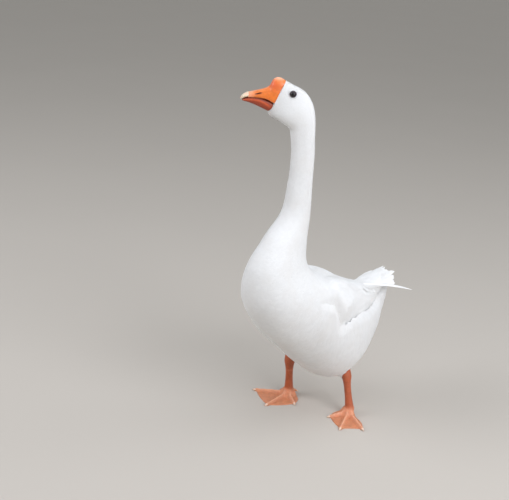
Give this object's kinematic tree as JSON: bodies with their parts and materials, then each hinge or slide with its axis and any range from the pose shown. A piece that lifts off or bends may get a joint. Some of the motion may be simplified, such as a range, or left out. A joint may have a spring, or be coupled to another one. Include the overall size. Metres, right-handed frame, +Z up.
{
  "type": "domestic goose",
  "caption": "White knobbed domestic goose standing still on both webbed feet, neck upright and head turned to its right.",
  "frame": {"origin": "middle of the whole bounding box in plan, on the floor that the soles rest on", "axes": "+Z up, -Y the way the body faces, +X the bird's left side"},
  "size_m": [0.3289, 0.555, 0.8338],
  "materials": {
    "plumage": "matt white feathers",
    "bill": "smooth orange horn and skin, slightly glossy",
    "nail": "pale horn",
    "leg": "scaly orange skin, satin",
    "claw": "pale horn",
    "eye": "wet and glossy, very dark brown"
  },
  "bodies": {
    "root": {"head": "plumage", "neck_upper": "plumage", "neck_middle": "plumage", "neck_lower": "plumage", "breast": "plumage", "trunk": "plumage", "rump": "plumage", "undertail": "plumage", "tail": "plumage", "tail_coverts": "plumage", "wing_left_coverts": "plumage", "wing_left_secondaries": "plumage", "wing_left_primaries": "plumage", "wing_left_loose_primary": "plumage", "wing_right_coverts": "plumage", "wing_right_secondaries": "plumage", "wing_right_primaries": "plumage", "thigh_left": "plumage", "thigh_right": "plumage", "knob": "bill", "bill_upper": "bill", "bill_lower": "bill", "bill_nail": "nail", "shank_left": "leg", "shank_right": "leg", "foot_left": "leg", "foot_right": "leg", "hallux_left": "leg", "hallux_right": "leg", "claw_left_inner": "claw", "claw_left_middle": "claw", "claw_left_outer": "claw", "claw_left_hind": "claw", "claw_right_inner": "claw", "claw_right_middle": "claw", "claw_right_outer": "claw", "claw_right_hind": "claw", "eye_left": "eye", "eye_right": "eye"}
  },
  "joints": []
}
